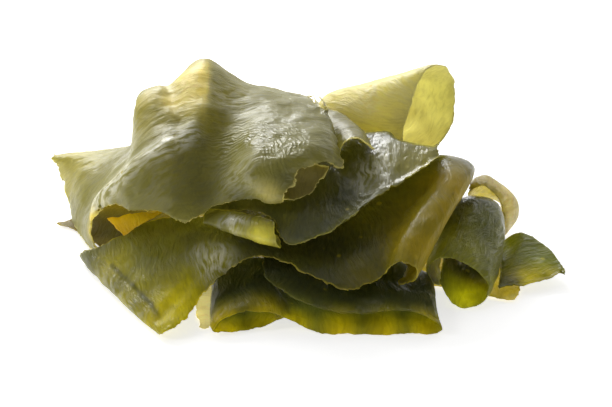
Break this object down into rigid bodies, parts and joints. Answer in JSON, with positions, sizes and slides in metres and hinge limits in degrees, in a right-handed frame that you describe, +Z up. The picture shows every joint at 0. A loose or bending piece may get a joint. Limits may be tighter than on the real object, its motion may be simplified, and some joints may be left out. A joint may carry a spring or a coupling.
{
  "type": "kelp frond",
  "caption": "Wet leathery kelp blade with broad divided lobes, folded and curled down into a low heap that lies flat underneath.",
  "frame": {"origin": "on the ground, under the middle of the heap's outline", "axes": "+Z up, +X along the heap's longest side, -Y towards the front"},
  "size_m": [0.3242, 0.248, 0.113],
  "materials": {
    "ground_skin": "wet, glossy, slightly translucent seaweed skin",
    "lower_tongue_skin": "wet, glossy, slightly translucent seaweed skin",
    "pocket_skin": "wet, glossy, slightly translucent seaweed skin",
    "middle_skin": "wet, glossy, slightly translucent seaweed skin",
    "tongue_skin": "wet, glossy, slightly translucent seaweed skin",
    "arch_skin": "wet, glossy, slightly translucent seaweed skin",
    "fold_skin": "wet, glossy, slightly translucent seaweed skin",
    "tip_skin": "wet, glossy, slightly translucent seaweed skin",
    "shoulder_skin": "wet, glossy, slightly translucent seaweed skin",
    "small_scroll_skin": "wet, glossy, slightly translucent seaweed skin",
    "back_scroll_skin": "wet, glossy, slightly translucent seaweed skin",
    "flap_skin": "wet, glossy, slightly translucent seaweed skin",
    "crown_skin": "wet, glossy, slightly translucent seaweed skin",
    "lining_skin": "wet, glossy, slightly translucent seaweed skin",
    "brow_skin": "wet, glossy, slightly translucent seaweed skin",
    "stalk_skin": "wet, glossy, slightly translucent seaweed skin"
  },
  "bodies": {
    "root": {"ground_lobe": "ground_skin", "lower_tongue_lobe": "lower_tongue_skin", "front_pocket_lobe": "pocket_skin", "middle_lobe": "middle_skin", "tongue_lobe": "tongue_skin", "arch_lobe": "arch_skin", "yellow_fold_lobe": "fold_skin", "right_tip_lobe": "tip_skin", "shoulder_lobe": "shoulder_skin", "small_scroll_lobe": "small_scroll_skin", "back_scroll_lobe": "back_scroll_skin", "back_flap_lobe": "flap_skin", "crown_lobe": "crown_skin", "hood_lining_lobe": "lining_skin", "brow_lobe": "brow_skin", "cut_stalk": "stalk_skin"}
  },
  "joints": []
}
